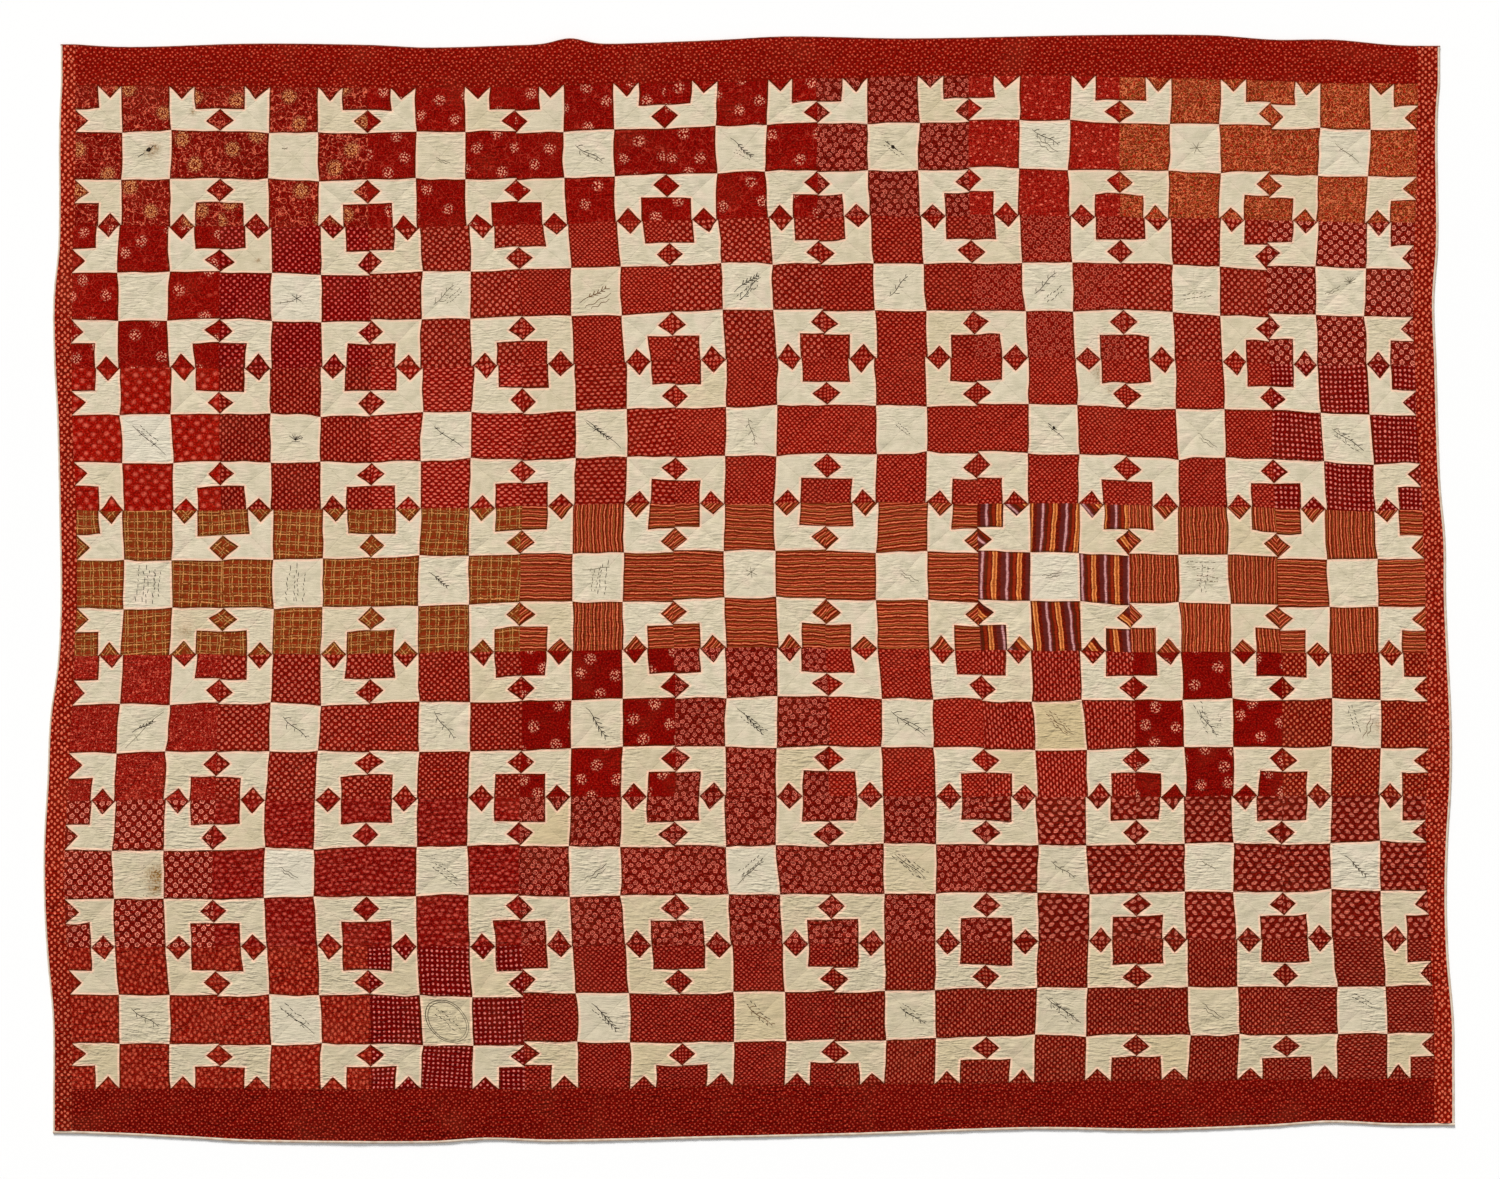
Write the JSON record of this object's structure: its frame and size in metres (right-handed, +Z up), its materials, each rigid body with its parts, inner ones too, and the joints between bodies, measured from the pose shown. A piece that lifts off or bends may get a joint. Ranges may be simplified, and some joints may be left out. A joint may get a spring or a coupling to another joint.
{
  "type": "autograph quilt",
  "caption": "Pieced cotton signature quilt lying flat: red print star patches round white squares, red print borders, narrow cream binding, crosswise quilting.",
  "frame": {"origin": "middle of the quilt's outline, on the surface that it lies on", "axes": "+X across the quilt, +Y towards its top edge, +Z up from the surface; the printed side faces +Z"},
  "size_m": [2.1526, 1.692, 0.0071],
  "materials": {
    "patchwork_cotton": "matt printed and plain cotton, faded, finely quilted",
    "border_cotton": "matt red cotton with small orange dots",
    "binding_cotton": "matt cream cotton, worn at the fold"
  },
  "bodies": {
    "root": {"pieced_centre": "patchwork_cotton", "border_top": "border_cotton", "border_bottom": "border_cotton", "border_left": "border_cotton", "border_right": "border_cotton", "binding_top": "binding_cotton", "binding_bottom": "binding_cotton", "binding_left": "binding_cotton", "binding_right": "binding_cotton"}
  },
  "joints": []
}
